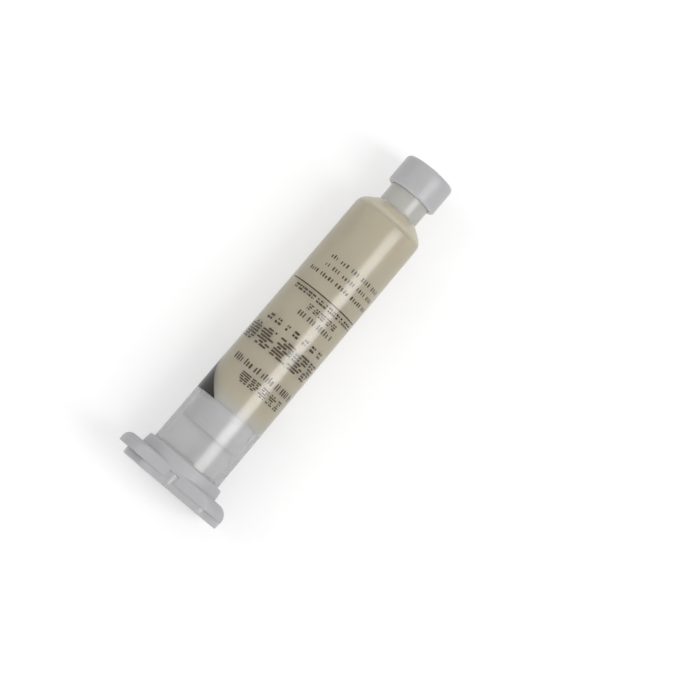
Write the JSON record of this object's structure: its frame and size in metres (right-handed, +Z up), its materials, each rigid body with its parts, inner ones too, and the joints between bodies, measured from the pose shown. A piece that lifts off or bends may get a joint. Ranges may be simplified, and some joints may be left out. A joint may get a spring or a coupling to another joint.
{
  "type": "flux syringe",
  "caption": "Filled dispensing syringe lying down: translucent barrel with finger flange, luer-lock tip under a cap, piston behind beige flux paste, and an end cap over the open end.",
  "frame": {"origin": "on the ground under the middle of the syringe, which lies on the flat sides of its flange", "axes": "+X along the barrel from the end cap to the tip, ears along Y, +Z up"},
  "size_m": [0.0936, 0.0296, 0.0214],
  "materials": {
    "barrel_plastic": "translucent, lightly frosted moulding with a gloss skin",
    "paste": "smooth paste",
    "piston_plastic": "satin",
    "cap_plastic": "satin, slightly translucent",
    "end_cap_plastic": "satin, translucent"
  },
  "bodies": {
    "barrel": {"barrel": "barrel_plastic", "flux_paste": "paste"},
    "piston": {"piston": "piston_plastic"},
    "tip_cap": {"tip_cap": "cap_plastic"},
    "end_cap": {"end_cap": "end_cap_plastic"}
  },
  "joints": [
    {"name": "piston_slide", "type": "slide", "parent": "barrel", "child": "piston", "axis": [1, 0, 0], "range_m": [0, 0.054], "deforming": ["flux_paste"]},
    {"name": "tip_cap_off", "type": "slide", "parent": "barrel", "child": "tip_cap", "axis": [1, 0, 0], "range_m": [0, 0.012]},
    {"name": "end_cap_off", "type": "slide", "parent": "barrel", "child": "end_cap", "axis": [-1, 0, 0], "range_m": [0, 0.01]}
  ]
}
